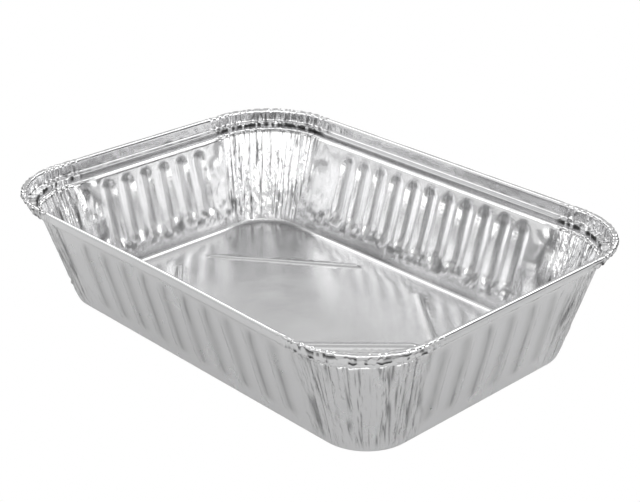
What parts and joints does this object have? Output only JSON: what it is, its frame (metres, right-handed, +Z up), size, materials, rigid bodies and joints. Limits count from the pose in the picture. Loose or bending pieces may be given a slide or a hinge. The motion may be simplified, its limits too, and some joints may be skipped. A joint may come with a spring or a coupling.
{
  "type": "aluminium foil tray",
  "caption": "Oblong open food tray pressed from thin foil, with fluted sloping walls, pleated corners, a flat floor with low ribs, and an upright rim with a lid ledge and a rolled edge.",
  "frame": {"origin": "middle of the underside, where the tray rests", "axes": "+X along the tray's length, +Y across its width, +Z up out of its open top"},
  "size_m": [0.218, 0.158, 0.05],
  "materials": {
    "foil": "bright rolled aluminium foil, pressed and wrinkled"
  },
  "bodies": {
    "root": {"foil_tray": "foil"}
  },
  "joints": []
}
